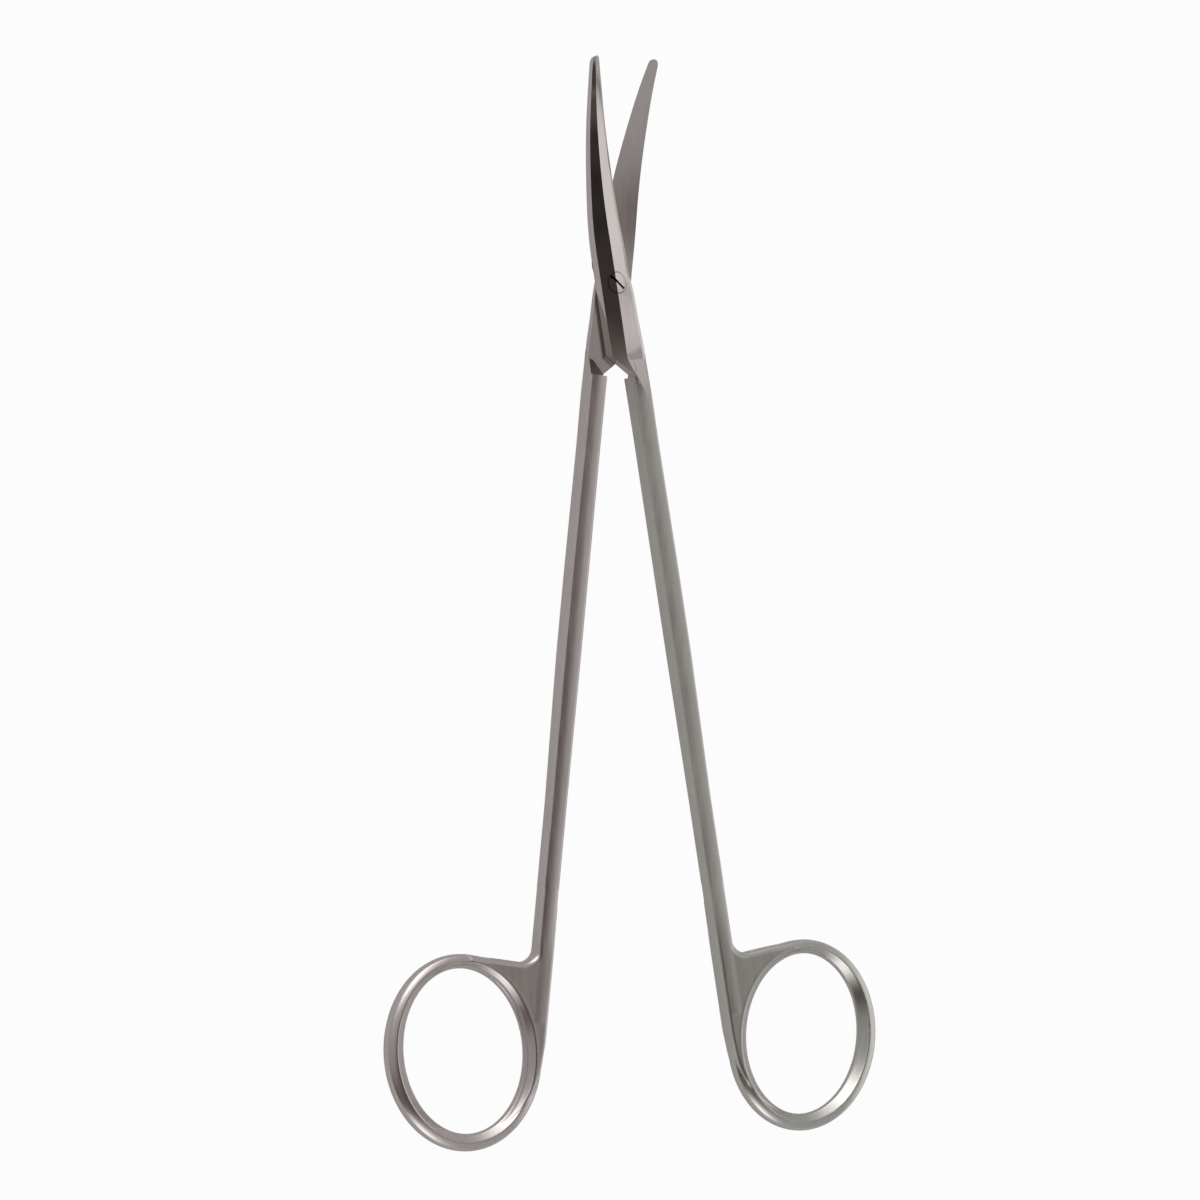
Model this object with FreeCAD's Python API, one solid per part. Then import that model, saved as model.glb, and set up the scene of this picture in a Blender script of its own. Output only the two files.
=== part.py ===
import FreeCAD, Part
import math
import os

# Curved dissecting scissors: two forged halves that turn on a slotted screw.
# All sizes are in millimetres. +Y points to the tips, +Z is the side that the tips curve to,
# and the pivot's axis stands at X = Y = 0 with the back land on Z = 0.
# Each half is drawn in its own frame, closed, and then turned to where it stands.
# The front half carries the screw's head and lies above the lap, the rear half below it.

V = FreeCAD.Vector
UP = V(0, 0, 1)

# Pose at rest
half_opening = 7.6           # degrees that each half stands from closed

# Lap, the face on which the halves slide
lap_gap = 0.10               # gap between the two laps
lap_flat_radius = 4.0        # the lap is flat round the screw
blade_bend_radius = 79.5     # the blades curve up from there
blade_length = 37.8          # along the curve, from the screw to the tip

# Blade and joint widths, from the half's own centre line
spine_half_width = 3.25      # at the joint
spine_half_width_tip = 1.38
spine_taper_start = 7.5      # distance from the screw where the spine starts to taper
edge_half_width = 3.05       # at the heel of the cutting edge
edge_half_width_tip = 0.25
edge_belly = 0.15            # how far the cutting edge bows out
taper_start = 5.0            # distance from the screw where the rest starts to taper
heel_length = 3.0            # the cutting edge ends this far from the screw

# Blade and joint heights above the lap
ridge_height = 2.25          # the front half's ridge, through the screw
back_ridge_height = 2.60     # the rear half's, before its back is ground flat
ridge_height_tip = 1.25
spine_height = 1.70          # the side wall under the back facet
spine_height_tip = 0.90
spine_draft = 0.17           # the side wall leans in by this share of its height
ridge_offset = 0.40          # the ridge lies this far towards the spine
ridge_offset_tip = 0.95
bevel_width = 0.55           # ground strip along the cutting edge
bevel_height = 0.50
edge_land = 0.10             # the cutting edge's own height
joint_side_height = 1.20     # the joint's outer side wall
joint_side_height_shank = 1.55
tip_radius = 0.84            # the tips are rounded off

# Shanks
shank_gap = 0.50             # between the two shanks when closed
shank_width = 2.98           # behind the joint
shank_width_middle = 3.12    # a third of the way down
shank_width_end = 2.84       # towards the ring
shank_thickness = 4.10
shank_thickness_end = 3.58
shank_corner = 0.30          # crisp corner
shank_round = 0.60           # the corner across from it
shank_crown = 7.0            # radius of the slightly domed top and bottom
shank_root = 13.0            # the shank starts this far behind the screw
shank_middle = 48.0
shank_end = 122.0

# Step between the joint and the shank
step_distance = 15.3         # foot of the ramp at the shank's inner side
step_angle = 45.0            # of the foot, from square across
step_clearance = 0.25        # the other half's shoulder stops short of the ramp
ramp_slope = 35.0
pocket_end = 15.7            # the pocket ends square, this far behind the screw

# Finger rings, each an oval that leans outwards at its top
ring_distance = 127.55       # from the screw to the middle of the ring's hole
ring_drop = 0.25             # the bar's outside sits this much lower than its hole
ring_inset = 0.13            # from the middle plane to the ring when closed
ring_lean = 14.0             # degrees
ring_hole_length = 26.6
ring_hole_width = 20.8
ring_bar_ends = 2.55         # width of the bar at the oval's ends
ring_bar_sides = 3.20        # and at its sides
ring_bar_thickness = 3.50
web_thickness = 3.60
web_corner_distance = 112.65 # from the screw to the inside corner of web and shank
web_fillet = 2.7

# Pivot screw and its hole
head_diameter = 3.35
head_depth = 0.5             # straight part of the head below the ridge
cone_depth = 0.6
neck_diameter = 2.30
thread_diameter = 2.00
running_clearance = 0.04     # radial, round the neck and the head
slot_width = 0.42
slot_depth = 0.55
slot_angle = -37.7           # degrees from +X

# Back land, where the rear half's ridge is ground flat round the screw's end
back_land_depth = 0.50

undercut = 0.9               # how far the blanks reach past the lap before it is ground
reach = 200.0                # larger than anything here

FRONT = 1
REAR = -1


def blend(a, b, start, end, s):
    """a before start, b after end, and an even S-curve between them."""
    q = min(max((s - start) / (end - start), 0.0), 1.0)
    q = q * q * (3.0 - 2.0 * q)
    return a + (b - a) * q


def taper(a, b, s, start=taper_start):
    """a at the joint, changing evenly to b at the tip."""
    q = min(max((s - start) / (blade_length - start), 0.0), 1.1)
    return a + (b - a) * q


def on_half(x, y, h, side):
    """A point of a flat part of a half: h is the height from the lap."""
    return V(side * x, y, side * h)


def on_blade(x, s, h, side):
    """A point of a blade, s along the curve and h square to it."""
    turn = max(s - lap_flat_radius, 0.0) / blade_bend_radius
    y = min(s, lap_flat_radius) + blade_bend_radius * math.sin(turn)
    z = blade_bend_radius * (1.0 - math.cos(turn))
    return V(side * x, y - side * h * math.sin(turn), z + side * h * math.cos(turn))


def blade_section(s, side):
    """One section of the blade or joint, from the spine over the ridge to the edge."""
    spine = -taper(spine_half_width, spine_half_width_tip, s, spine_taper_start)
    q = min(max((s - taper_start) / (blade_length - taper_start), 0.0), 1.0)
    edge = taper(edge_half_width, edge_half_width_tip, s) + edge_belly * 4.0 * q * (1.0 - q)
    joint_side = blend(shank_gap / 2 + shank_width - 0.04, 2.98, -shank_root, -heel_length, s)
    edge = blend(joint_side, edge, -heel_length, heel_length, s)
    ridge = -taper(ridge_offset, ridge_offset_tip, s)
    ridge = blend(shank_gap / 2 + 0.9, ridge, -pocket_end - 1.0, -shank_root + 1.0, s)
    top = taper(ridge_height if side == FRONT else back_ridge_height, ridge_height_tip, s)
    top = blend(shank_thickness / 2 - 0.02, top, -pocket_end - 1.0, -heel_length, s)
    wall = taper(spine_height, spine_height_tip, s)
    wall = blend(shank_thickness / 2 - 0.06, wall, -pocket_end - 1.0, -heel_length, s)
    side_height = blend(joint_side_height_shank, joint_side_height, -shank_root, -heel_length, s)
    land = blend(side_height, edge_land, -heel_length, heel_length, s)
    bevel = blend(side_height + 0.25, bevel_height, -heel_length, heel_length, s)
    bevel_x = edge - taper(bevel_width, bevel_width * 0.6, s)
    points = [
        (spine - undercut * spine_draft, -undercut),
        (spine + wall * spine_draft, wall),
        (ridge, top),
        (bevel_x, bevel),
        (edge, land),
        (edge, -undercut),
    ]
    corners = [on_blade(x, s, h, side) for x, h in points]
    return Part.makePolygon(corners + corners[:1])


def lap_cutter(side):
    """All that lies on the far side of this half's lap."""
    level = side * lap_gap / 2
    far = -side * 40.0
    last_turn = 0.62
    middle = V(0, 0, level + blade_bend_radius)

    def arc_point(turn):
        radius = blade_bend_radius
        return V(lap_flat_radius + radius * math.sin(turn), 0, middle.z - radius * math.cos(turn))

    inner = V(0, 0, level)
    flat_end = V(lap_flat_radius, 0, level)
    end = arc_point(last_turn)
    edges = [
        Part.makeLine(inner, flat_end),
        Part.Arc(flat_end, arc_point(last_turn / 2), end).toShape(),
        Part.makeLine(end, V(end.x, 0, far)),
        Part.makeLine(V(end.x, 0, far), V(0, 0, far)),
        Part.makeLine(V(0, 0, far), inner),
    ]
    profile = Part.Face(Part.Wire(edges))
    curved = profile.revolve(V(0, 0, 0), UP, 180)
    flat = Part.makeBox(2 * reach, reach, 40.0, V(-reach, -reach, level if side < 0 else level - 40.0))
    return [curved, flat]


def tip_mask():
    """What stays of a blade in plan: everything short of the tip, with a round end."""
    tip = on_blade(0, blade_length, 0, FRONT)
    middle_x = -(spine_half_width_tip - edge_half_width_tip) / 2 - 0.02
    straight = Part.makeBox(40.0, 80.0, 80.0, V(-20.0, tip.y - tip_radius - 80.0, -40.0))
    round_end = Part.makeCylinder(tip_radius, 80.0, V(middle_x, tip.y - tip_radius, -40.0))
    return straight.fuse(round_end)


def turned_over(shape, side):
    """The rear half's flat parts are the front half's, turned over about Y."""
    if side == REAR:
        shape = shape.copy()
        shape.rotate(V(0, 0, 0), V(0, 1, 0), 180)
    return shape


def prism(points, low, high):
    face = Part.Face(Part.makePolygon([V(x, y, low) for x, y in points + points[:1]]))
    return face.extrude(V(0, 0, high - low))


def shoulder_cutter():
    """Below this slanting line the joint ends, so that it clears the other half's ramp."""
    slant = math.tan(math.radians(step_angle))
    start_y = -step_distance + step_clearance / math.cos(math.radians(step_angle))
    wide = 6.0
    points = [
        (1.0, start_y - slant * 1.0),
        (-wide, start_y + slant * wide),
        (-wide, -40.0),
        (1.0, -40.0),
    ]
    return prism(points, -5.0, 5.0)


def pocket_cutter():
    """The room in a shank for the other half's joint, with the ramp at its end."""
    low = -4.0
    top = lap_gap / 2
    box = Part.makeBox(12.0, pocket_end + 1.0, top - low, V(-6.0, -pocket_end, low))
    angle = math.radians(step_angle)
    along = V(math.cos(angle), math.sin(angle), 0)
    across = V(math.sin(angle), -math.cos(angle), 0)
    run = 12.0
    foot = V(0, -step_distance, top) - along * 10.0
    rise = run * math.tan(math.radians(ramp_slope))
    corners = [foot, foot + across * run, foot + across * run - UP * rise]
    ramp = Part.Face(Part.makePolygon(corners + corners[:1])).extrude(along * 30.0)
    return box.cut(ramp)


def shank_section(distance, width, thickness, rounding):
    """A section across a shank: upright sides and a slightly domed top and bottom.

    Two opposite corners are crisp and the other two are rounded.
    """
    x_low = shank_gap / 2
    x_high = x_low + width
    middle = (x_low + x_high) / 2
    dome = V(middle, 0, thickness / 2 - shank_crown)
    top = []
    for x_side, way, r in ((x_high, 1, rounding), (x_low, -1, min(shank_corner, rounding))):
        across = x_side - way * r - middle
        centre = V(middle + across, 0, dome.z + math.sqrt((shank_crown - r) ** 2 - across ** 2))
        lean = (centre - dome).normalize()
        bisector = (lean + V(way, 0, 0)).normalize()
        top.append((centre + V(way * r, 0, 0), centre + bisector * r, centre + lean * r))
    right, left = top
    half_edges = [
        Part.Arc(*right).toShape(),
        Part.Arc(right[2], V(middle, 0, thickness / 2), left[2]).toShape(),
        Part.Arc(left[2], left[1], left[0]).toShape(),
    ]

    def over(point):
        return V(2 * middle - point.x, 0, -point.z)

    bottom = [tuple(over(point) for point in corner) for corner in top]
    right_low, left_low = bottom
    edges = half_edges + [Part.makeLine(left[0], right_low[0])]
    edges.append(Part.Arc(*right_low).toShape())
    edges.append(Part.Arc(right_low[2], V(middle, 0, -thickness / 2), left_low[2]).toShape())
    edges.append(Part.Arc(left_low[2], left_low[1], left_low[0]).toShape())
    edges.append(Part.makeLine(left_low[0], right[0]))
    wire = Part.Wire(edges)
    wire.translate(V(0, -distance, 0))
    return wire


def shank():
    stations = [
        (shank_root, shank_width, shank_thickness, shank_corner),
        (shank_root + 14.0, shank_width, shank_thickness, shank_round),
        (shank_middle, shank_width_middle, shank_thickness, shank_round),
        (shank_middle + 14.0, shank_width_middle, shank_thickness, shank_round),
        (2 * shank_middle - 10.0, shank_width_end, shank_thickness_end, shank_round),
        (shank_end, shank_width_end, shank_thickness_end, shank_round),
    ]
    return Part.makeLoft([shank_section(*station) for station in stations], True, True)


def ring_centre():
    lean = math.radians(ring_lean)
    long_reach = (ring_hole_length / 2 + ring_bar_ends) * math.sin(lean)
    side_reach = (ring_hole_width / 2 + ring_bar_sides) * math.cos(lean)
    return V(ring_inset + math.hypot(long_reach, side_reach), -ring_distance, 0)


def ring_axes(share):
    """The oval's two half axes: share 0 is the hole, share 1 the outside of the bar."""
    lean = math.radians(ring_lean)
    long_axis = V(math.sin(lean), math.cos(lean), 0) * (ring_hole_length / 2 + share * ring_bar_ends)
    side_axis = V(math.cos(lean), -math.sin(lean), 0) * (ring_hole_width / 2 + share * ring_bar_sides)
    return long_axis, side_axis


def ring_oval(share):
    centre = ring_centre() - V(0, share * ring_drop, 0)
    long_axis, side_axis = ring_axes(share)
    return Part.Ellipse(centre + long_axis, centre + side_axis, centre).toShape()


def ring_point(share, angle):
    long_axis, side_axis = ring_axes(share)
    centre = ring_centre() - V(0, share * ring_drop, 0)
    return centre + long_axis * math.cos(angle) + side_axis * math.sin(angle)


def bar_section(angle):
    """A section of the ring's bar: a soft ridge above and below, and rounded sides."""
    inner = ring_point(0.0, angle)
    outer = ring_point(1.0, angle)
    middle = (inner + outer) / 2
    outward = (outer - inner) / 2
    t = ring_bar_thickness / 2
    points = [(1.0, 0.0), (0.80, 0.62), (0.0, 1.0), (-0.80, 0.62), (-1.0, 0.0), (-0.80, -0.62), (0.0, -1.0), (0.80, -0.62)]
    spots = [middle + outward * x + UP * (z * t) for x, z in points]
    edges = []
    for i in (0, 2, 4, 6):
        edges.append(Part.Arc(spots[i], spots[i + 1], spots[(i + 2) % 8]).toShape())
    return Part.Wire(edges)


def plate(outline, thickness):
    """A flat plate of the given outline, centred on the shanks' mid-plane."""
    face = Part.Face(outline)
    face.translate(V(0, 0, -thickness / 2))
    return face.extrude(V(0, 0, thickness))


def web_limits():
    """The web fades into the shank and the ring's bar: its ends slope away from its flats."""
    centre = ring_centre()
    left = shank_gap / 2 - 2.0
    height = web_thickness / 2 + 0.2

    def outline(z, start, right, bottom):
        points = [
            V(left, -start, z),
            V(right, -start, z),
            V(right, centre.y + 5.0, z),
            V(centre.x - 5.0, bottom, z),
            V(left, bottom, z),
        ]
        return Part.makePolygon(points + points[:1])

    middle = outline(0, 102.5, centre.x + 3.0, centre.y - 5.0)
    halves = []
    for z in (height, -height):
        end = outline(z, 105.5, centre.x - 3.0, centre.y + 3.0)
        halves.append(Part.makeLoft([middle, end], True, True))
    return halves[0].fuse(halves[1])


def finger_ring():
    """The oval bar and the flat web between it and the shank."""
    stations = 16
    sections = [bar_section(2 * math.pi * i / stations) for i in range(stations)]
    bar = Part.makeLoft(sections, True, False, True)

    x_low = shank_gap / 2
    x_high = x_low + shank_width_end
    half = web_thickness / 2
    y_low = ring_centre().y
    strip = prism([(x_low, -102.0), (x_high, -102.0), (x_high, y_low), (x_low, y_low)], -half, half)
    long_axis, side_axis = ring_axes(1.0)
    top = ring_centre() + V(1.0, math.hypot(long_axis.y, side_axis.y) - ring_drop, 0)
    shoulder = prism([(x_low + 1.0, -web_corner_distance), (x_high, -web_corner_distance), (top.x, top.y),
                      (top.x, y_low), (x_low + 1.0, y_low)], -half, half)
    blank = plate(Part.Wire([ring_oval(1.0)]), web_thickness).fuse([strip, shoulder]).removeSplitter()
    corner = []
    for edge in blank.Edges:
        middle = edge.valueAt((edge.FirstParameter + edge.LastParameter) / 2)
        upright = edge.BoundBox.ZLength > half
        if upright and abs(middle.x - x_high) < 0.05 and -122.0 < middle.y < -107.0:
            corner.append(edge)
    blank = blank.makeFillet(web_fillet, corner)
    ridge = plate(Part.Wire([ring_oval(0.5)]), 2 * web_thickness)
    web = blank.common(web_limits()).cut(ridge)
    return bar.fuse(web)


def half_blank(side):
    """One half's blade, joint, shank and ring in one piece, closed and not yet bored."""
    stations = [-17.0, -15.0, -13.0, -11.0, -8.0, -5.0, -3.0, -1.0, 1.0, 3.0, 5.0, 9.0, 15.0, 22.0, 29.0, 34.0, 38.4]
    body = Part.makeLoft([blade_section(s, side) for s in stations], True, False)
    mask = tip_mask()
    if side == REAR:
        mask = mask.mirror(V(0, 0, 0), V(1, 0, 0))
    body = body.common(mask)
    for cutter in lap_cutter(side):
        body = body.cut(cutter)
    body = body.cut(turned_over(shoulder_cutter(), side))
    rail = shank().cut(pocket_cutter())
    rail = rail.fuse(finger_ring())
    return body.fuse(turned_over(rail, side)).Solids[0]


def screw_blank(clearance):
    """The screw's head, cone and neck, grown by clearance, up past the ridge."""
    head_r = head_diameter / 2 + clearance
    neck_r = neck_diameter / 2 + clearance
    shelf = ridge_height - head_depth
    neck_top = shelf - cone_depth
    profile = [
        V(0, 0, -1.0), V(neck_r, 0, -1.0), V(neck_r, 0, neck_top),
        V(head_r, 0, shelf), V(head_r, 0, 6.0), V(0, 0, 6.0),
    ]
    face = Part.Face(Part.makePolygon(profile + profile[:1]))
    return face.revolve(V(0, 0, 0), UP, 360)


def main():
    os.makedirs("parts", exist_ok=True)
    lap_level = back_ridge_height - back_land_depth

    front = half_blank(FRONT)
    front.rotate(V(0, 0, 0), UP, half_opening)
    rear = half_blank(REAR)
    rear.rotate(V(0, 0, 0), UP, -half_opening)
    back = Part.makeBox(2 * reach, 2 * reach, 20.0, V(-reach, -reach, -lap_level - 20.0))
    rear = rear.cut(back)

    # The head is ground flush with the front half's two facets, and its slot is cut across it.
    head = screw_blank(0.0).common(front)
    slot = Part.makeBox(20.0, slot_width, 5.0, V(-10.0, -slot_width / 2, ridge_height - slot_depth))
    slot.rotate(V(0, 0, 0), UP, slot_angle)
    head = head.cut(slot)
    neck = Part.makeCylinder(neck_diameter / 2, lap_gap, V(0, 0, -lap_gap / 2))
    hole = Part.makeCylinder(thread_diameter / 2, 10.0, V(0, 0, -8.0))
    thread = hole.common(rear)
    screw = head.fuse(neck).fuse(thread).removeSplitter()

    front = front.cut(screw_blank(running_clearance))
    rear = rear.cut(hole)

    nodes = {"front_half": front, "rear_half": rear, "pivot_screw": screw}
    for name, shape in nodes.items():
        shape.translate(V(0, 0, lap_level))
        shape.exportStep("parts/" + name + ".step")
        print(name, len(shape.Solids), shape.isValid(), round(shape.Volume, 2))


main()
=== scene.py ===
"""Dissecting scissors: satin forged steel halves round a slotted joint screw, on a pale floor."""
import math

import bmesh
import bpy
import numpy as np
from mathutils import Matrix, Vector

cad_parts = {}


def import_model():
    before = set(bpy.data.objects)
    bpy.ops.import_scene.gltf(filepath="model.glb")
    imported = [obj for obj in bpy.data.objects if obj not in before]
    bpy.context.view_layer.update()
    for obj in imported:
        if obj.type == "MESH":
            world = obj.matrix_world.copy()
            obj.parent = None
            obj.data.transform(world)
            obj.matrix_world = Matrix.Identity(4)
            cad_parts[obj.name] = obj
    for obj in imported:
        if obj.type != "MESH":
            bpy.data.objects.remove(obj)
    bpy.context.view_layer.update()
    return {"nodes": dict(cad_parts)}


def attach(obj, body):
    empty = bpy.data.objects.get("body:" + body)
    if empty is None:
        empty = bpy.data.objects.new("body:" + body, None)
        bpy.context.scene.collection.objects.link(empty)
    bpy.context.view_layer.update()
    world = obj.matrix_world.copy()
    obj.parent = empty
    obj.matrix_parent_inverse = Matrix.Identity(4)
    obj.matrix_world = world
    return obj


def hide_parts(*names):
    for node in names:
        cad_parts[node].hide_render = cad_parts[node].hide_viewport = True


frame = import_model()
nodes = frame["nodes"]

MM = 0.001
RAD = math.pi / 180

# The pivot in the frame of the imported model, in metres.
PIVOT = Vector((0.0, 0.0, 2.1 * MM))

# Camera, found by fitting the photograph: place in metres, axes, lens and sensor in millimetres.
CAMERA_AT = Vector((-0.317676, -0.088206, 0.672594)) + PIVOT
CAMERA_RIGHT = Vector((0.90651867, -0.02936117, 0.42114348))
CAMERA_UP = Vector((0.00615301, 0.99839149, 0.05636113))
CAMERA_BACK = Vector((-0.42212089, -0.04850112, 0.90524118))
CAMERA_LENS = 135.97
SENSOR = 36.0
CLIP_NEAR, CLIP_FAR = 0.01, 20.0

# The light that the steel mirrors, set until the tones came near the photograph's.
# A lamp or a gap has its direction, as degrees from overhead to the right and towards the
# tips, then its width in degrees and its amount. A gap takes that share of the light away.
# The plain light goes from left to right, and the wall comes in, over a span of the
# direction's sideways part.
AMBIENT_LEFT, AMBIENT_RIGHT = 0.38, 0.42
AMBIENT_SPAN = (-0.3, 0.5)
WALL_LEVEL = 0.86
WALL_SPAN = (0.7, 0.95)
LAMPS = [
    ((-18, 82), 14, 1.5),
    ((-25, 45), 12, 2.0),
    ((-16, -45), 9, 1.0),
    ((-25, -63), 11, 1.3),
    ((48, 10), 12, 0.30),
]
GAPS = [
    ((0, 1), 9, 0.9),
    ((-3, -10), 8, 0.9),
    ((-10, -20), 8, 0.9),
    ((-22, -28), 8, 0.85),
    ((-38, -32), 9, 0.85),
    ((-52, -33), 9, 0.85),
    ((12, 4), 8, 0.6),
    ((20, -3), 7, 0.5),
]
GAP_TINT = (1.12, 1.0, 0.93)

# The floor: half its side and its depth under the object in metres, and its paper's tone.
# Plain white is mixed in: one share for the camera, and for the steel's mirror images a
# share that grows over a span of X, painted light that makes the floor brighter on the right.
FLOOR_HALF = 3.0
FLOOR_DEPTH = 0.02 * MM
PAPER = 0.80
SEEN_WHITE = 0.96
GLARE_SPAN = (0.045, 0.075)
GLARE = (0.10, 0.80)

# One handle in its own closed frame, in millimetres and radians: the shank, then the ring's
# place and lean, its hole, its bar's widths at the ends and sides and half its height, the
# power of the bar's oval section, and the slopes of its facets and how softly they meet it.
SHANK_GAP = 0.50
SHANK_WIDTH = 2.84
SHANK_THICK = 3.58
SHANK_FOOT = -122.0
CROWN = 7.0
CORNER_SOFT, CORNER_CRISP = 0.6, 0.3
RING_DISTANCE, RING_DROP, RING_INSET, RING_LEAN = 127.55, 0.25, 0.13, 14.0 * RAD
HOLE_LONG, HOLE_SIDE = 13.3, 10.4
BAR_ENDS, BAR_SIDES, BAR_HALF = 2.55, 3.20, 1.75
BAR_POWER = 2.1
SLOPE_OUT, SLOPE_IN = 24.0 * RAD, 43.0 * RAD
OUTER_BLEND, INNER_BLEND = 0.25, 0.12

# The web between shank and ring: half its thickness, its corner's place and radius, and its
# end. It draws back under the ring's bar over two spans of degrees round the ring, its flats
# sink a little towards its end, and its rim is rounded, more so on the outside. It stops
# over the bar at a share of the bar's half width, and a straight shoulder leads to the ring.
WEB_HALF = 1.80
WEB_CORNER, WEB_FILLET = 112.65, 2.7
WEB_END = -103.0
WEB_DRAW, WEB_DRAW_POWER, WEB_BACK = 2.8, 1.3, 0.05
LOW_FADE, LOW_FADE_SPAN = 168, 82
TOP_FADE, TOP_FADE_SPAN = 106, 50
WEB_SINK, WEB_SINK_SPAN = 0.22, (-112, -103.5)
WEB_RIM, WEB_RIM_MORE = 0.3, 0.65
WEB_OVER_BAR = 0.6
SHOULDER_IN, SHOULDER_DRAW, SHOULDER_BLEND = 1.0, 0.3, 0.5
WEB_BLEND, SHANK_BLEND = 0.3, 0.12

# The directions along and across the ring's oval, its outer half axes and its centre.
LONG = np.array([math.sin(RING_LEAN), math.cos(RING_LEAN)])
SIDE = np.array([math.cos(RING_LEAN), -math.sin(RING_LEAN)])
OUTER_LONG, OUTER_SIDE = HOLE_LONG + BAR_ENDS, HOLE_SIDE + BAR_SIDES
CX = RING_INSET + math.hypot(OUTER_LONG * LONG[0], OUTER_SIDE * SIDE[0])
CY = -RING_DISTANCE

# The grid for the handle's surface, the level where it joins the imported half's shank, with a
# gap that a strip of faces bridges, and how near points and edges lie that are merged first.
FIELD_LOW, FIELD_HIGH = (-0.6, -146.0, -2.3), (31.0, -99.5, 2.3)
CELL = 0.22
CUT = -100.0
CUT_GAP, RIM_SLACK = 0.3, 0.05
MERGE_POINTS, MERGE_EDGES = 0.012, 0.004

# Each half stands turned by this much from closed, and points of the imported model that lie
# this near in metres are one.
HALF_TURN = 7.6 * RAD
SAME_POINT = 2e-7

# How nearly a face looks a given way, as a cosine: exactly, or about.
SAME_WAY, ABOUT_THAT_WAY = 0.99999, 0.99

# The way that the ramped step looks in the half's own frame, and a level that it lies below,
# which keeps other faces out.
RAMP_NORMAL = Vector((-0.406, 0.406, -0.819)).normalized()
STEP_BELOW = -9.0

# Planes that carry the joint's outer facet and its edge on into the shank:
# the x that they start from, height at x = 0, fall per mm outwards, rise per mm towards the
# ring. What lies over them is cut away along this reach, from outside and above the shank.
FACET_END = -12.96
FACET_REACH = 20.0
RUN_OUTS = [(0.2, 2.05, 0.098, 0.030), (2.4, 3.795, 0.75, 0.050)]
SHANK_OUTSIDE, SHANK_ABOVE = 4.5, 5.0

# The screw's slot, in millimetres from the pivot, and the radius of its head's seam in metres.
SLOT_WIDTH = 0.42
SLOT_HALF_LENGTH = 3
SLOT_ANGLE = -37.7 * RAD
SLOT_FLOOR, SLOT_TOP = 1.15, 4.0
SEAM_RADIUS = 1.70 * MM

# The steel: the spans of Y in metres where it goes from ring to shank and from shank to
# joint, the noise scales of its scratches, streaks and clouds, painted shade as a dark line in
# the seam round the screw's head, and the tones.
RING_SPAN = (-0.114, -0.102)
JOINT_SPAN = (-0.020, -0.013)
RING_SATIN = 0.22
GRAIN, RING_GRAIN = 0.25, 0.4
SCRATCH_SCALE, STREAK_SCALE, CLOUD_SCALE = 9000.0, 1400.0, 90.0
SCRATCH_DEPTH = 0.00002
SEAM_START, SEAM_FADE, SEAM_END = 0.02 * MM, 0.14 * MM, 0.22 * MM
SEAM_SHADE_AMOUNT, SEAM_SHADE_TONE = 0.6, 0.05
WARM = (0.662, 0.60, 0.584)
COOL = (0.620, 0.60, 0.566)
# The ramped step's tone is darker as painted shade.
STEP_SHADE_TONE = (0.22, 0.185, 0.175)
# The slot's tone is painted shade inside the screw's slot.
SLOT_SHADE_TONE = (0.07, 0.062, 0.06)

# The corners of a block are its low four and then its high four, each round the same way.
BLOCK_FACES = [(0, 3, 2, 1), (4, 5, 6, 7), (0, 1, 5, 4), (1, 2, 6, 5), (2, 3, 7, 6), (3, 0, 4, 7)]


def smooth(v, a, b):
    """A soft step from 0 at a to 1 at b."""
    q = np.clip((v - a) / (b - a), 0.0, 1.0)
    return q * q * (3 - 2 * q)


def either(a, b, k):
    """The union of two distance fields, with a blend about k wide where they meet."""
    h = np.maximum(k - np.abs(a - b), 0.0) / k
    return np.minimum(a, b) - h * h * k / 4


def both(a, b, k):
    """What two distance fields share, with a blend about k wide where they meet."""
    return -either(-a, -b, k)


def rounded(a, b, r):
    """What two distance fields share, with its outer corner rounded to a radius."""
    return np.minimum(np.maximum(a + r, b + r), 0) + np.hypot(np.maximum(a + r, 0), np.maximum(b + r, 0)) - r


def filleted(a, b, r):
    """The union of two distance fields, with its inner corner filled to a radius."""
    return np.maximum(r, np.minimum(a, b)) - np.hypot(np.maximum(r - a, 0), np.maximum(r - b, 0))


def across_bar(x, y):
    """Signed distance from the ridge line, outwards, and the bar's half width there.

    Ovals run from share 0, the hole's edge, to share 1, the bar's outer edge, with the ridge
    line half way. The share at each point is found by Newton's steps.
    """
    def reach(share):
        right, up = x - CX, y - CY + share * RING_DROP
        u = right * LONG[0] + up * LONG[1]
        v = right * SIDE[0] + up * SIDE[1]
        return u / (HOLE_LONG + share * BAR_ENDS), v / (HOLE_SIDE + share * BAR_SIDES)

    step, least_slope = 0.01, 0.05
    share = np.full(x.shape, 0.5)
    for _ in range(7):
        size = np.hypot(*reach(share))
        slope = (np.hypot(*reach(share + step)) - size) / step
        slope = np.where(np.abs(slope) < least_slope, -least_slope, slope)
        share = np.clip(share - (size - 1) / slope, -4.0, 6.0)
    p, q = reach(share)
    size = np.maximum(np.hypot(p, q), 1e-6)
    half = 0.5 * np.hypot(BAR_ENDS * p / size, BAR_SIDES * q / size)
    # Far inside the hole the steps don't settle, and any distance well inwards will do.
    hollow = np.hypot(*reach(0.0)) < 0.8
    return np.where(hollow, -5.0, (2 * share - 1) * half), half


def bar_field(w, a, h):
    """The bar: an oval section, with a flat facet either side of its ridge, above and below."""
    e = BAR_POWER
    across, up = np.abs(w) / a, h / BAR_HALF
    q = (across ** e + up ** e + 1e-9) ** (1 / e)
    slope = np.hypot(across ** (e - 1) / a, up ** (e - 1) / BAR_HALF) / q ** (e - 1)
    oval = (q - 1) / np.maximum(slope, 0.2)
    outer = w * math.sin(SLOPE_OUT) + (h - BAR_HALF) * math.cos(SLOPE_OUT)
    inner = -w * math.sin(SLOPE_IN) + (h - BAR_HALF) * math.cos(SLOPE_IN)
    return both(both(oval, outer, OUTER_BLEND), inner, INNER_BLEND)


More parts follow.
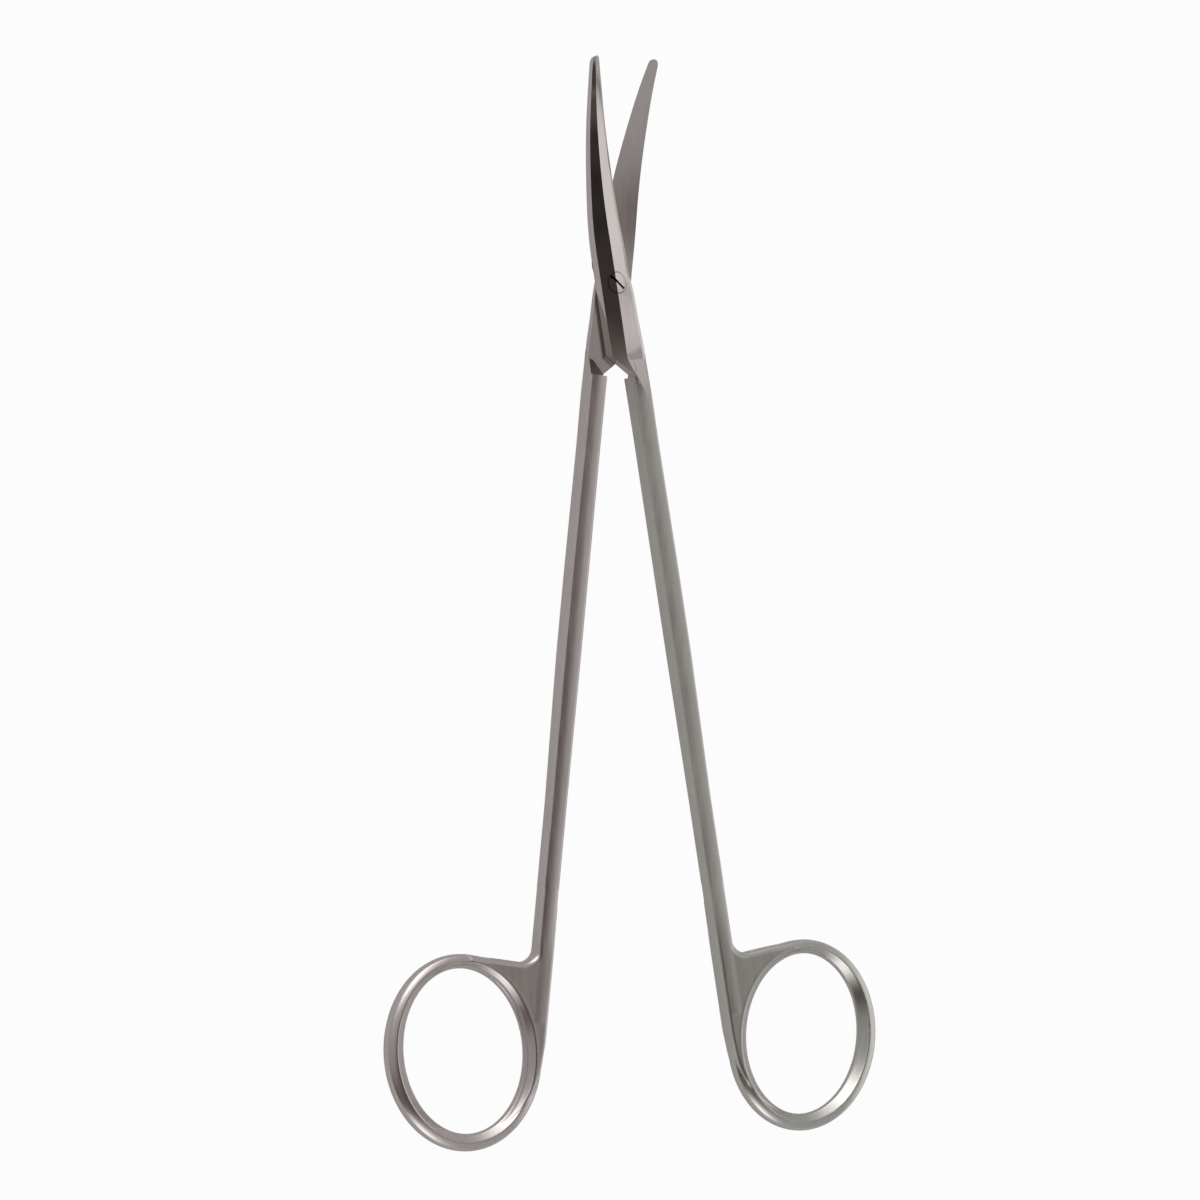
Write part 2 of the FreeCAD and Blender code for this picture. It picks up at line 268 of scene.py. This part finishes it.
def web_field(x, y, w, a, h):
    """The web: a plate that carries the shank on into the ring and fades out along its bar."""
    low = SHANK_GAP / 2
    middle = low + SHANK_WIDTH / 2
    high = low + SHANK_WIDTH
    turn = np.degrees(np.arctan2(y - CY, x - CX)) % 360
    low_draw = WEB_DRAW * np.clip((turn - LOW_FADE) / LOW_FADE_SPAN, 0, 1) ** WEB_DRAW_POWER
    top_draw = WEB_DRAW * np.clip((TOP_FADE - turn) / TOP_FADE_SPAN, 0, 1) ** WEB_DRAW_POWER
    ring = w - a + np.maximum(low_draw, top_draw) + WEB_BACK

    # The shoulder is a straight edge from the shank to the top of the ring.
    rise = math.hypot(OUTER_LONG * LONG[1], OUTER_SIDE * SIDE[1])
    top = np.array([CX + SHOULDER_IN, CY + rise - RING_DROP])
    start = np.array([low + SHOULDER_IN, -WEB_CORNER])
    way = (top - start) / np.hypot(*(top - start))
    over = (x - start[0]) * -way[1] + (y - start[1]) * way[0]
    above = np.maximum(over + SHOULDER_DRAW * top_draw, x - top[0])
    shoulder = np.maximum(above, np.maximum(CY - y, low + SHOULDER_IN - x))
    strip = np.maximum(np.maximum(low - x + low_draw, x - high), np.maximum(CY - y, y - WEB_END))

    outside = smooth(x, middle, high)
    outline = filleted(strip, either(ring, shoulder, SHOULDER_BLEND), WEB_FILLET * outside + 1e-4)
    level = h - (WEB_HALF - WEB_SINK * smooth(y, *WEB_SINK_SPAN))
    web = rounded(outline, level, WEB_RIM + WEB_RIM_MORE * outside)
    inner = -w * math.sin(SLOPE_IN) + (h - WEB_HALF) * math.cos(SLOPE_IN)
    web = both(web, inner, INNER_BLEND)
    return np.maximum(web, -w - WEB_OVER_BAR * a)


def shank_field(x, y, z, h):
    """The shank's last stretch: a domed bar with two soft corners and two crisp ones."""
    middle = SHANK_GAP / 2 + SHANK_WIDTH / 2
    crown = SHANK_THICK / 2 - CROWN
    dome = np.hypot(x - middle, h - crown) - CROWN
    side = np.abs(x - middle) - SHANK_WIDTH / 2
    soft = (x > middle) == (z > 0)
    shank = rounded(dome, side, np.where(soft, CORNER_SOFT, CORNER_CRISP))
    return np.maximum(shank, SHANK_FOOT - y)


def solid(x, y, z):
    """The whole handle as one field, negative inside."""
    w, a = across_bar(x, y)
    h = np.abs(z)
    handle = either(bar_field(w, a, h), web_field(x, y, w, a, h), WEB_BLEND)
    return either(handle, shank_field(x, y, z, h), SHANK_BLEND)


def neighbours(axis):
    """Slices that pair each place of a grid with the next one along an axis."""
    a = [slice(None)] * 3
    b = [slice(None)] * 3
    a[axis], b[axis] = slice(0, -1), slice(1, None)
    return tuple(a), tuple(b)


def surface(field, low, high, size):
    """Quads on the zero level of a field, by surface nets, with each corner moved onto the level."""
    counts = [int(math.ceil((b - a) / size)) + 1 for a, b in zip(low, high)]
    axes = [a + size * np.arange(n) for a, n in zip(low, counts)]
    grid = np.meshgrid(*axes, indexing="ij")
    value = field(*grid)
    inside = value < 0
    cells = tuple(n - 1 for n in counts)

    # Each cell that the surface crosses has a point, the mean of the crossings of its edges.
    total = np.zeros(cells + (3,))
    number = np.zeros(cells)
    for axis in range(3):
        a, b = neighbours(axis)
        cross = inside[a] != inside[b]
        span = value[a] - value[b]
        share = np.where(cross, value[a] / np.where(span == 0, 1, span), 0)
        others = [i for i in range(3) if i != axis]
        for p in (0, 1):
            for q in (0, 1):
                cut = [slice(None)] * 3
                cut[others[0]] = slice(p, counts[others[0]] - 1 + p)
                cut[others[1]] = slice(q, counts[others[1]] - 1 + q)
                cut = tuple(cut)
                hit = cross[cut]
                number += hit
                for i in range(3):
                    place = grid[i][a][cut] + (size * share[cut] if i == axis else 0)
                    total[..., i] += np.where(hit, place, 0)
    used = number > 0
    index = np.full(cells, -1)
    index[used] = np.arange(used.sum())
    points = total[used] / number[used][:, None]

    # Each crossed edge of the grid has a quad between the four cells round it.
    quads = []
    for axis in range(3):
        a, b = neighbours(axis)
        one, two = inside[a], inside[b]
        where = np.argwhere(one != two)
        others = [(axis + 1) % 3, (axis + 2) % 3]
        keep = (where[:, others[0]] > 0) & (where[:, others[1]] > 0)
        keep &= (where[:, others[0]] < cells[others[0]]) & (where[:, others[1]] < cells[others[1]])
        where = where[keep]
        corner = []
        for p, q in ((-1, -1), (0, -1), (0, 0), (-1, 0)):
            at = where.copy()
            at[:, others[0]] += p
            at[:, others[1]] += q
            corner.append(index[tuple(at.T)])
        quad = np.stack(corner, 1)
        flip = ~one[tuple(where.T)]
        quad[flip] = quad[flip][:, ::-1]
        quads.append(quad)

    # Newton's steps move each point onto the level.
    step, least_slope = 1e-3, 0.25
    for _ in range(4):
        f = field(*points.T)
        slope = np.stack([(field(*(points + step * e).T) - f) / step for e in np.eye(3)], 1)
        move = -f[:, None] * slope / np.maximum((slope ** 2).sum(1), least_slope)[:, None]
        points += np.clip(move, -size / 2, size / 2)
    return points, np.concatenate(quads)


def link(tree, a, out, b, into):
    tree.links.new(a.outputs[out], b.inputs[into])


class Nodes:
    """Short calls for building a shader tree."""

    def __init__(self, tree):
        self.tree = tree

    def add(self, kind, **values):
        node = self.tree.nodes.new(kind)
        for name, value in values.items():
            setattr(node, name, value)
        return node

    def feed(self, socket, value):
        if isinstance(value, bpy.types.NodeSocket):
            self.tree.links.new(value, socket)
        else:
            socket.default_value = value

    def math(self, operation, *values):
        node = self.add("ShaderNodeMath", operation=operation)
        for socket, value in zip(node.inputs, values):
            self.feed(socket, value)
        return node.outputs[0]

    def step(self, value, low, high, to_low=0.0, to_high=1.0, soft=True):
        node = self.add("ShaderNodeMapRange")
        node.interpolation_type = "SMOOTHSTEP" if soft else "LINEAR"
        for socket, given in zip(node.inputs[:5], (value, low, high, to_low, to_high)):
            self.feed(socket, given)
        return node.outputs[0]

    def mix(self, factor, a, b):
        """A mix of two colours. Sockets 6 and 7 are the mix node's colours."""
        node = self.add("ShaderNodeMix", data_type="RGBA")
        self.feed(node.inputs[0], factor)
        self.feed(node.inputs[6], a)
        self.feed(node.inputs[7], b)
        return node.outputs[2]

    def noise(self, vector, scale, detail=2.0, rough=0.5):
        node = self.add("ShaderNodeTexNoise")
        self.feed(node.inputs["Vector"], vector)
        node.inputs["Scale"].default_value = scale
        node.inputs["Detail"].default_value = detail
        node.inputs["Roughness"].default_value = rough
        return node.outputs[0]

    def stretched(self, vector, scale):
        node = self.add("ShaderNodeMapping")
        self.feed(node.inputs["Vector"], vector)
        node.inputs["Scale"].default_value = scale
        return node.outputs[0]


def grey(level):
    return (level, level, level, 1.0)


def empty_tree(owner):
    """The node tree of a material or world, with nothing in it."""
    owner.use_nodes = True
    owner.node_tree.nodes.clear()
    return owner.node_tree


def steel(name, blade, handle, satin, polish, seam=False):
    """Brushed steel, satin on the handles and smoother on the joint and blades.

    blade and handle are colours, and satin and polish the roughness of shank and blade. With seam, painted
    shade darkens a thin line in the seam round the screw's head.
    """
    material = bpy.data.materials.new(name)
    tree = empty_tree(material)
    n = Nodes(tree)
    out = n.add("ShaderNodeOutputMaterial")
    shader = n.add("ShaderNodeBsdfPrincipled")
    link(tree, shader, "BSDF", out, "Surface")
    shader.inputs["Metallic"].default_value = 1.0
    place = n.add("ShaderNodeTexCoord").outputs["Object"]
    parts = n.add("ShaderNodeSeparateXYZ")
    n.feed(parts.inputs[0], place)
    y = parts.outputs["Y"]

    # Fine scratches that run along the instrument, and a soft uneven tone.
    lines = n.noise(n.stretched(place, (1.0, 0.05, 1.0)), SCRATCH_SCALE, 3.0, 0.6)
    streaks = n.noise(n.stretched(place, (1.0, 0.12, 1.0)), STREAK_SCALE, 2.0)
    cloud = n.noise(place, CLOUD_SCALE, 3.0)
    joint = n.step(y, *JOINT_SPAN)

    tone = n.step(cloud, 0.3, 0.7, 0.97, 1.03, soft=False)
    tone = n.math("MULTIPLY", tone, n.step(streaks, 0.25, 0.75, 0.96, 1.04, soft=False))
    colour = n.add("ShaderNodeVectorMath", operation="SCALE")
    n.feed(colour.inputs[0], n.mix(joint, (*handle, 1.0), (*blade, 1.0)))
    n.feed(colour.inputs["Scale"], tone)
    tinted = colour.outputs[0]
    # Painted shade: a thin dark line in the seam round the screw's head.
    if seam:
        squares = n.math("ADD", n.math("POWER", parts.outputs["X"], 2.0), n.math("POWER", y, 2.0))
        away = n.math("SQRT", squares)
        near = n.math("MULTIPLY", n.step(away, SEAM_RADIUS, SEAM_RADIUS + SEAM_START),
                      n.step(away, SEAM_RADIUS + SEAM_FADE, SEAM_RADIUS + SEAM_END, 1.0, 0.0))
        tinted = n.mix(n.math("MULTIPLY", near, SEAM_SHADE_AMOUNT), tinted, grey(SEAM_SHADE_TONE))
    n.feed(shader.inputs["Base Color"], tinted)

    rough = n.add("ShaderNodeMix", data_type="FLOAT")
    n.feed(rough.inputs[0], joint)
    n.feed(rough.inputs[2], n.step(y, *RING_SPAN, RING_SATIN, satin))
    rough.inputs[3].default_value = polish
    uneven = n.step(streaks, 0.25, 0.75, 0.9, 1.1, soft=False)
    n.feed(shader.inputs["Roughness"], n.math("MULTIPLY", rough.outputs[0], uneven))

    bump = n.add("ShaderNodeBump")
    n.feed(bump.inputs["Strength"], n.step(y, *RING_SPAN, RING_GRAIN * GRAIN, GRAIN))
    bump.inputs["Distance"].default_value = SCRATCH_DEPTH
    n.feed(bump.inputs["Height"], lines)
    n.feed(shader.inputs["Normal"], bump.outputs[0])
    return material


# The two halves' finishes differ so that their tones come near the photograph's.
front_steel = steel("front_steel", WARM, COOL, 0.42, 0.10, seam=True)
rear_steel = steel("rear_steel", WARM, WARM, 0.26, 0.15)
# Painted shade: the ramped step gets a darker steel.
step_shade_steel = steel("step_shade_steel", STEP_SHADE_TONE, STEP_SHADE_TONE, 0.26, 0.26)
screw_steel = steel("screw_steel", WARM, WARM, 0.12, 0.12)
# Painted shade: the slot's floor and walls get a near black steel.
slot_shade_steel = steel("slot_shade_steel", SLOT_SHADE_TONE, SLOT_SHADE_TONE, 0.5, 0.5)


def turned(points, angle):
    c, s = math.cos(angle), math.sin(angle)
    x, y, z = points.T
    return np.stack([c * x - s * y, s * x + c * y, z], 1)


def to_half(points, way):
    """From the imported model's metres to the closed half's own millimetres."""
    moved = turned((np.asarray(points) - np.array(PIVOT)) / MM, -way * HALF_TURN)
    return moved * np.array([way, 1, way])


def from_half(points, way):
    """From the closed half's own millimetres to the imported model's metres."""
    moved = turned(np.asarray(points) * np.array([way, 1, way]), way * HALF_TURN)
    return moved * MM + np.array(PIVOT)


def place_all(work, turn, way):
    moved = turn([v.co[:] for v in work.verts], way)
    for v, co in zip(work.verts, moved):
        v.co = co


def cut_open(work, level, keep_above):
    """Takes away what lies on one side of a level along Y, and leaves the cut open."""
    geometry = work.verts[:] + work.edges[:] + work.faces[:]
    bmesh.ops.bisect_plane(work, geom=geometry, dist=1e-5, plane_co=(0, level, 0), plane_no=(0, 1, 0),
                           clear_inner=keep_above, clear_outer=not keep_above)


def finished(work, mesh):
    """Writes an edit into a mesh and ends it."""
    work.to_mesh(mesh)
    work.free()
    return mesh


def linked(name, mesh):
    piece = bpy.data.objects.new(name, mesh)
    bpy.context.scene.collection.objects.link(piece)
    return piece


def carve(piece, corners):
    """Cuts a closed block out of a piece."""
    mesh = bpy.data.meshes.new("block")
    mesh.from_pydata([Vector(c) for c in corners], [], BLOCK_FACES)
    block = linked("block", mesh)
    cut = piece.modifiers.new("cut", "BOOLEAN")
    cut.operation = "DIFFERENCE"
    cut.solver = "EXACT"
    cut.object = block
    evaluated = piece.evaluated_get(bpy.context.evaluated_depsgraph_get())
    mesh = bpy.data.meshes.new_from_object(evaluated)
    piece.modifiers.clear()
    piece.data = mesh
    bpy.data.objects.remove(block)


def shoulder_block(left, height, fall, rise):
    """What is ground off the shank above one of the run-out planes."""
    end = FACET_END - FACET_REACH
    footprint = ((left, end), (SHANK_OUTSIDE, end), (SHANK_OUTSIDE, FACET_END), (left, FACET_END))
    low = [(x, y, height - fall * x + rise * (FACET_END - y)) for x, y in footprint]
    return low + [(x, y, SHANK_ABOVE) for x, y in footprint]


def upper_half(node, way):
    """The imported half's blade, joint and shank, with the joint's facet run out into the shank."""
    work = bmesh.new()
    work.from_mesh(nodes[node].data)
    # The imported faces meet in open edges, so these stay sharp when their points are merged.
    for edge in work.edges:
        edge.smooth = not edge.is_boundary
    bmesh.ops.remove_doubles(work, verts=work.verts, dist=SAME_POINT)
    place_all(work, to_half, way)
    cut_open(work, CUT, True)
    holder = linked("holder", finished(work, bpy.data.meshes.new("upper")))
    for plane in RUN_OUTS:
        carve(holder, shoulder_block(*plane))
    upper = holder.data
    bpy.data.objects.remove(holder)

    work = bmesh.new()
    work.from_mesh(upper)
    for _, _, fall, rise in RUN_OUTS:
        facet = Vector((fall, rise, 1.0)).normalized()
        for face in work.faces:
            if face.normal.dot(facet) > SAME_WAY and face.calc_center_median().y < FACET_END:
                for edge in face.edges:
                    edge.smooth = False
    # The ramped step's face gets a darker steel: painted shade for the dark that it mirrors.
    for face in work.faces:
        ramped = face.normal.dot(RAMP_NORMAL) > ABOUT_THAT_WAY and face.calc_center_median().y < STEP_BELOW
        face.material_index = int(ramped)
    return finished(work, upper)


def whole_half(node, body, way, points, quads, material):
    """The node's blade, joint and shank, with a ring whose web runs smoothly into its bar."""
    upper = upper_half(node, way)
    ring = bmesh.new()
    made = bpy.data.meshes.new("ring")
    made.from_pydata(points.tolist(), [], quads.tolist())
    ring.from_mesh(made)
    bmesh.ops.remove_doubles(ring, verts=ring.verts, dist=MERGE_POINTS)
    bmesh.ops.dissolve_degenerate(ring, edges=ring.edges, dist=MERGE_EDGES)
    cut_open(ring, CUT - CUT_GAP, False)
    ring.from_mesh(upper)
    rim = [e for e in ring.edges if e.is_boundary and abs(e.verts[0].co.y - CUT) < CUT_GAP + RIM_SLACK]
    bmesh.ops.bridge_loops(ring, edges=rim)
    place_all(ring, from_half, way)
    bmesh.ops.recalc_face_normals(ring, faces=ring.faces)
    for face in ring.faces:
        face.smooth = True
    mesh = finished(ring, bpy.data.meshes.new(node + "_forged"))
    mesh.materials.append(material)
    mesh.materials.append(step_shade_steel)
    piece = linked(node + "_forged", mesh)
    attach(piece, body)
    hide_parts(node)


def screw():
    """The screw, its slot sawn deep enough to show on both facets, with painted shade inside it."""
    work = bmesh.new()
    work.from_mesh(nodes["pivot_screw"].data)
    bmesh.ops.remove_doubles(work, verts=work.verts, dist=SAME_POINT)
    piece = linked("pivot_screw_slotted", finished(work, bpy.data.meshes.new("pivot_screw_slotted")))
    c, s = math.cos(SLOT_ANGLE), math.sin(SLOT_ANGLE)
    long, wide = SLOT_HALF_LENGTH, SLOT_WIDTH / 2
    corners = []
    for z in (SLOT_FLOOR, SLOT_TOP):
        for x, y in ((-long, -wide), (long, -wide), (long, wide), (-long, wide)):
            corners.append(PIVOT + MM * Vector((c * x - s * y, s * x + c * y, z)))
    carve(piece, corners)
    mesh = piece.data
    mesh.materials.clear()
    mesh.materials.append(screw_steel)
    mesh.materials.append(slot_shade_steel)
    # The slot's floor is level and its walls are upright, unlike the ground facets of the head, and these
    # faces get painted shade.
    for face in mesh.polygons:
        upright = abs(face.normal.z) < 0.4
        low = face.normal.z > ABOUT_THAT_WAY and face.center.z > PIVOT.z
        face.material_index = 1 if upright or low else 0
        face.use_smooth = False
    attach(piece, "rear_half")
    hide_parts("pivot_screw")


def floor():
    """A pale sheet under the scissors. Seen straight it reads as white paper, and it keeps their shadow. In
    the steel's reflections its right side glows brighter, as painted light.
    """
    mesh = bpy.data.meshes.new("floor")
    half = FLOOR_HALF
    corners = [(-half, -half), (half, -half), (half, half), (-half, half)]
    mesh.from_pydata([(x, y, -FLOOR_DEPTH) for x, y in corners], [], [(0, 1, 2, 3)])
    sheet = linked("floor", mesh)
    material = bpy.data.materials.new("floor_white")
    tree = empty_tree(material)
    n = Nodes(tree)
    out = n.add("ShaderNodeOutputMaterial")
    paper = n.add("ShaderNodeBsdfDiffuse")
    paper.inputs["Color"].default_value = grey(PAPER)
    glow = n.add("ShaderNodeEmission")
    glow.inputs["Color"].default_value = grey(1.0)
    glow.inputs["Strength"].default_value = 1.0
    ray = n.add("ShaderNodeLightPath")
    seen = n.math("MULTIPLY", ray.outputs["Is Camera Ray"], SEEN_WHITE)
    place = n.add("ShaderNodeSeparateXYZ")
    n.feed(place.inputs[0], n.add("ShaderNodeTexCoord").outputs["Object"])
    # Painted light: in reflections the floor glows brighter towards the right.
    glare = n.step(place.outputs["X"], *GLARE_SPAN, *GLARE)
    mirrored = n.math("MULTIPLY", ray.outputs["Is Glossy Ray"], glare)
    shader = n.add("ShaderNodeMixShader")
    n.feed(shader.inputs[0], n.math("ADD", seen, mirrored))
    link(tree, paper, "BSDF", shader, 1)
    link(tree, glow, "Emission", shader, 2)
    link(tree, shader, "Shader", out, "Surface")
    mesh.materials.append(material)


def direction(right, up):
    """The unit direction that many degrees from overhead, to the right and towards the tips."""
    across = math.hypot(right, up)
    tilt = across * RAD
    return (math.sin(tilt) * right / across, math.sin(tilt) * up / across, math.cos(tilt))


def world():
    """A grey room with soft lamps, dark and slightly warm gaps, and a pale wall on the right.

    The camera sees plain white in its place.
    """
    room = bpy.data.worlds.new("studio")
    bpy.context.scene.world = room
    tree = empty_tree(room)
    n = Nodes(tree)
    out = n.add("ShaderNodeOutputWorld")
    light = n.add("ShaderNodeBackground")
    white = n.add("ShaderNodeBackground")
    white.inputs["Color"].default_value = grey(1.0)
    white.inputs["Strength"].default_value = 1.0
    way = n.add("ShaderNodeTexCoord").outputs["Generated"]

    def lobe(towards, width):
        near = n.add("ShaderNodeVectorMath", operation="DOT_PRODUCT")
        n.feed(near.inputs[0], way)
        near.inputs[1].default_value = direction(*towards)
        power = n.math("MULTIPLY", n.math("SUBTRACT", near.outputs["Value"], 1.0), 1 / (width * RAD) ** 2)
        return n.math("EXPONENT", power)

    parts = n.add("ShaderNodeSeparateXYZ")
    n.feed(parts.inputs[0], way)
    x = parts.outputs["X"]
    level = n.step(x, *AMBIENT_SPAN, AMBIENT_LEFT, AMBIENT_RIGHT)
    for towards, width, amount in LAMPS:
        level = n.math("ADD", level, n.math("MULTIPLY", lobe(towards, width), amount))
    level = n.math("MAXIMUM", level, n.math("MULTIPLY", n.step(x, *WALL_SPAN), WALL_LEVEL))
    kept = 1.0
    for towards, width, amount in GAPS:
        share = n.math("SUBTRACT", 1.0, n.math("MULTIPLY", lobe(towards, width), amount))
        kept = n.math("MULTIPLY", kept, share)
    level = n.math("MULTIPLY", level, kept)
    shade = n.add("ShaderNodeCombineColor")
    for socket, tint in zip(shade.inputs[:3], GAP_TINT):
        n.feed(socket, n.math("MULTIPLY", level, n.step(kept, 0.0, 1.0, tint, 1.0, soft=False)))
    n.feed(light.inputs["Color"], shade.outputs[0])
    light.inputs["Strength"].default_value = 1.0
    ray = n.add("ShaderNodeLightPath")
    shader = n.add("ShaderNodeMixShader")
    n.feed(shader.inputs[0], ray.outputs["Is Camera Ray"])
    link(tree, light, "Background", shader, 1)
    link(tree, white, "Background", shader, 2)
    link(tree, shader, "Shader", out, "Surface")


def camera():
    data = bpy.data.cameras.new("camera")
    data.sensor_fit = "AUTO"
    data.sensor_width = SENSOR
    data.lens = CAMERA_LENS
    data.clip_start = CLIP_NEAR
    data.clip_end = CLIP_FAR
    eye = linked("camera", data)
    axes = Matrix((CAMERA_RIGHT, CAMERA_UP, CAMERA_BACK)).transposed().to_4x4()
    eye.matrix_world = Matrix.Translation(CAMERA_AT) @ axes
    bpy.context.scene.camera = eye


screw()
ring_points, ring_quads = surface(solid, FIELD_LOW, FIELD_HIGH, CELL)
whole_half("front_half", "front_half", 1, ring_points, ring_quads, front_steel)
whole_half("rear_half", "rear_half", -1, ring_points, ring_quads, rear_steel)
floor()
world()
camera()
bpy.context.scene.view_settings.view_transform = "Standard"
